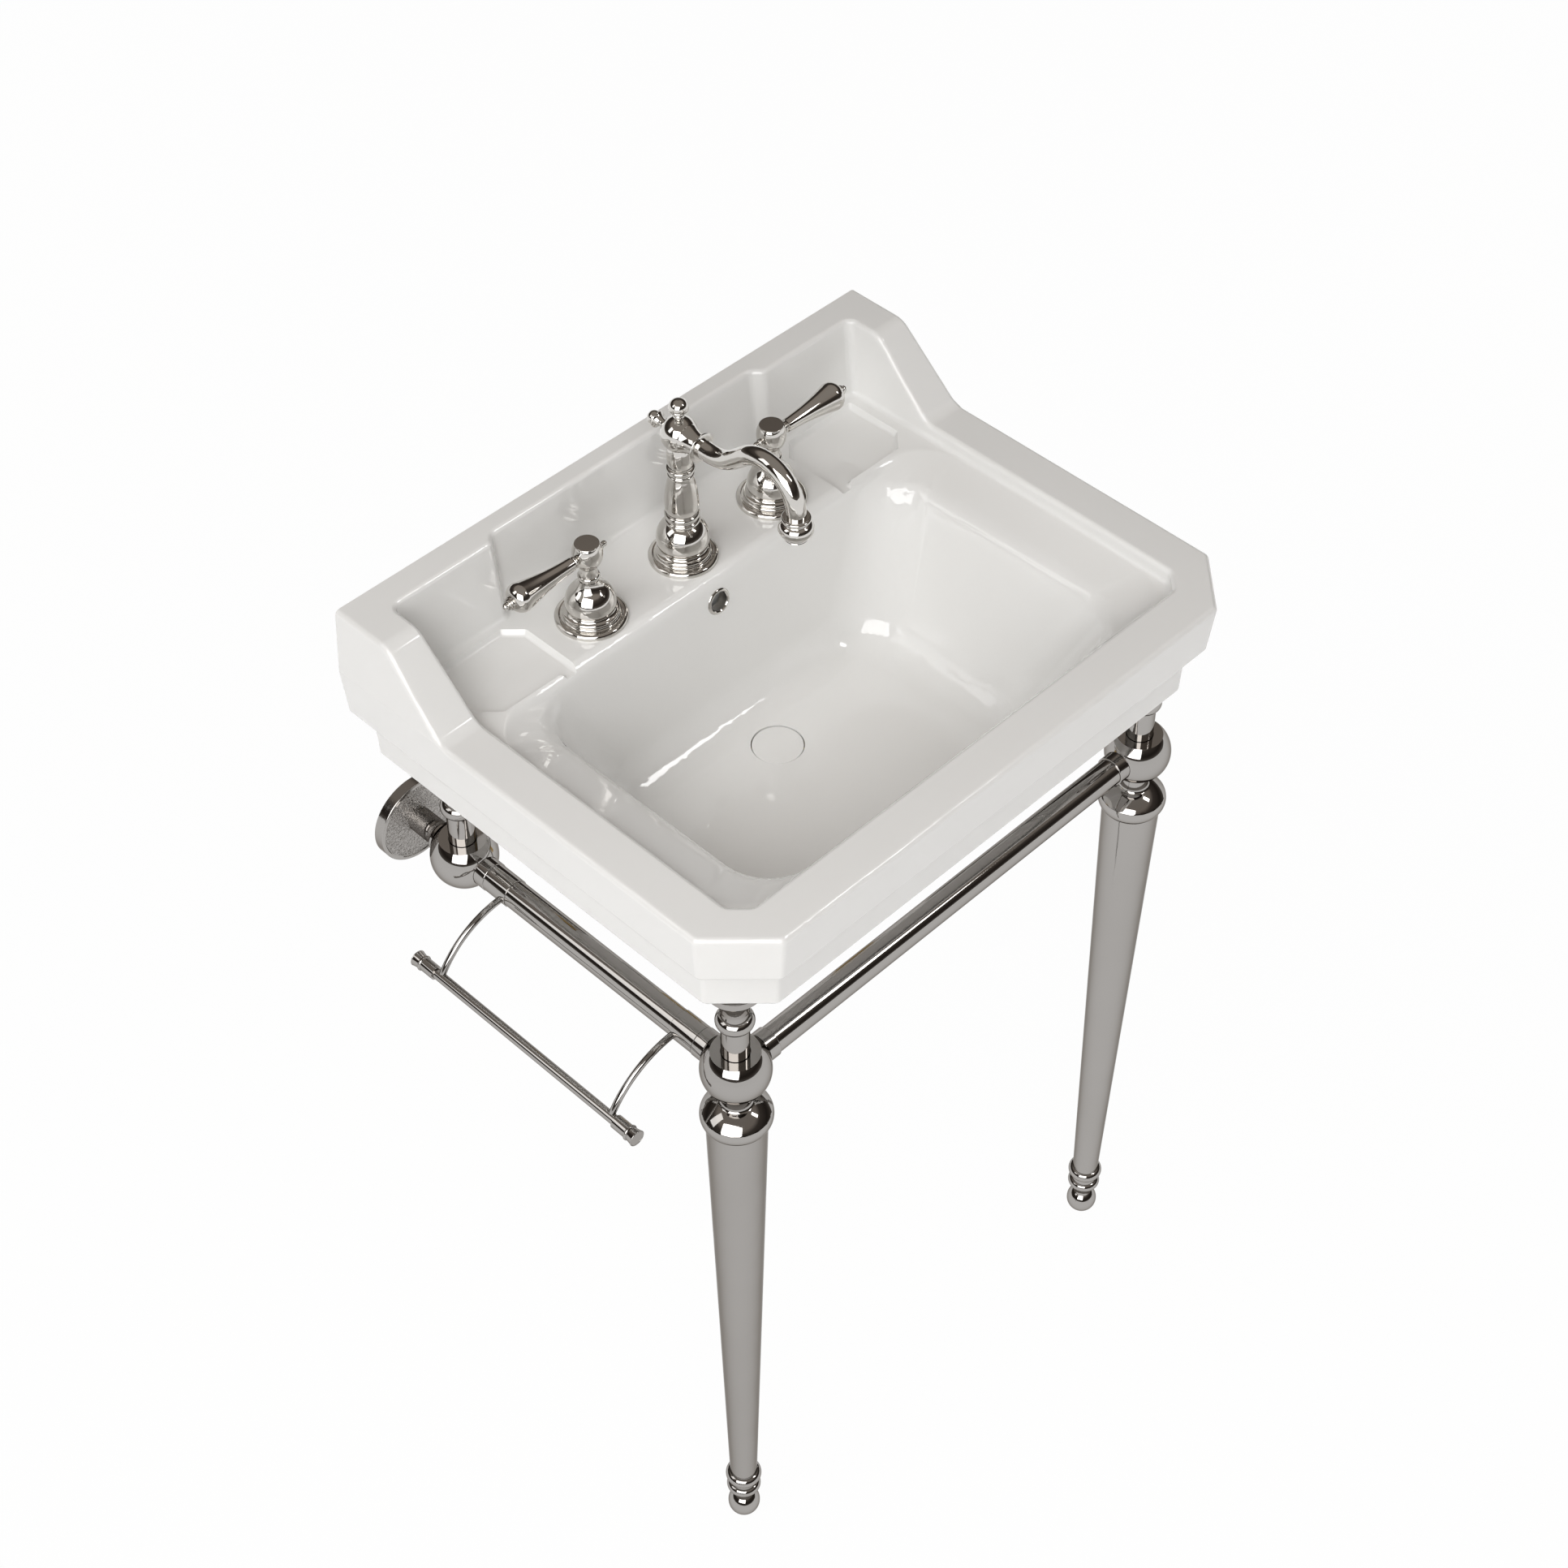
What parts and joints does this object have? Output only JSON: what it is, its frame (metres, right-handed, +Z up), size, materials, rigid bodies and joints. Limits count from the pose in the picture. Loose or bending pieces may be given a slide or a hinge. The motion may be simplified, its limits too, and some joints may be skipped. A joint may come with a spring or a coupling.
{
  "type": "console wash basin with metal stand",
  "caption": "White console wash basin with an upstand, lever taps and arched spout, on a turned polished metal stand with front legs, wall stubs and a towel bar.",
  "frame": {"origin": "midway between the two wall bolt holes of the basin, on the wall plane", "axes": "+X to the right along the wall, +Y into the wall, +Z up"},
  "size_m": [0.6167, 0.4386, 1.0051],
  "materials": {
    "white_glaze": "gloss",
    "polished_nickel": "polished",
    "stand_nickel": "polished, a shade darker",
    "brass": "satin",
    "black_rubber": "matte",
    "plain_steel": "satin",
    "white_plastic": "matte"
  },
  "bodies": {
    "basin_and_stand": {"basin": "white_glaze", "waste_body": "brass", "waste_gasket": "black_rubber", "waste_locknut": "brass", "overflow_ring": "polished_nickel", "hot_valve_body": "brass", "hot_tap_base": "polished_nickel", "cold_valve_body": "brass", "cold_tap_base": "polished_nickel", "spout_shank": "brass", "spout_base": "polished_nickel", "spout_column": "polished_nickel", "spout_ball": "polished_nickel", "spout_top_finial": "polished_nickel", "spout_rear_finial": "polished_nickel", "spout_collar": "polished_nickel", "spout_tube": "polished_nickel", "aerator_housing": "polished_nickel", "aerator_insert": "white_plastic", "tap_washers": "black_rubber", "tap_locknuts": "brass", "left_foot": "stand_nickel", "left_leg": "stand_nickel", "left_leg_cap": "stand_nickel", "left_front_ball": "stand_nickel", "left_rear_ball": "stand_nickel", "left_front_post": "stand_nickel", "left_rear_post": "stand_nickel", "left_side_rail": "stand_nickel", "right_foot": "stand_nickel", "right_leg": "stand_nickel", "right_leg_cap": "stand_nickel", "right_front_ball": "stand_nickel", "right_rear_ball": "stand_nickel", "right_front_post": "stand_nickel", "right_rear_post": "stand_nickel", "right_side_rail": "stand_nickel", "front_rail": "stand_nickel", "rail_collars": "stand_nickel", "left_wall_flange": "stand_nickel", "left_wall_stub": "stand_nickel", "right_wall_flange": "stand_nickel", "right_wall_stub": "stand_nickel", "wall_plates": "plain_steel", "rear_towel_arm": "stand_nickel", "front_towel_arm": "stand_nickel", "towel_sleeves": "stand_nickel", "towel_bar": "stand_nickel", "towel_bar_ends": "stand_nickel"},
    "hot_handle": {"hot_valve_spindle": "brass", "hot_handle_hub": "polished_nickel", "hot_lever": "polished_nickel", "hot_hub_finial": "polished_nickel"},
    "cold_handle": {"cold_valve_spindle": "brass", "cold_handle_hub": "polished_nickel", "cold_lever": "polished_nickel", "cold_hub_finial": "polished_nickel"},
    "waste_plug": {"waste_cap": "white_glaze", "waste_stem": "brass"}
  },
  "joints": [
    {"name": "hot_handle_turn", "type": "hinge", "parent": "basin_and_stand", "child": "hot_handle", "pos_m": [-0.1016, -0.0825, 0.09], "axis": [0, 0, 1], "range_deg": [0, 90]},
    {"name": "cold_handle_turn", "type": "hinge", "parent": "basin_and_stand", "child": "cold_handle", "pos_m": [0.1016, -0.0825, 0.09], "axis": [0, 0, 1], "range_deg": [-90, 0]},
    {"name": "waste_plug_slide", "type": "slide", "parent": "basin_and_stand", "child": "waste_plug", "axis": [0, 0, 1], "range_m": [0, 0.008]}
  ]
}
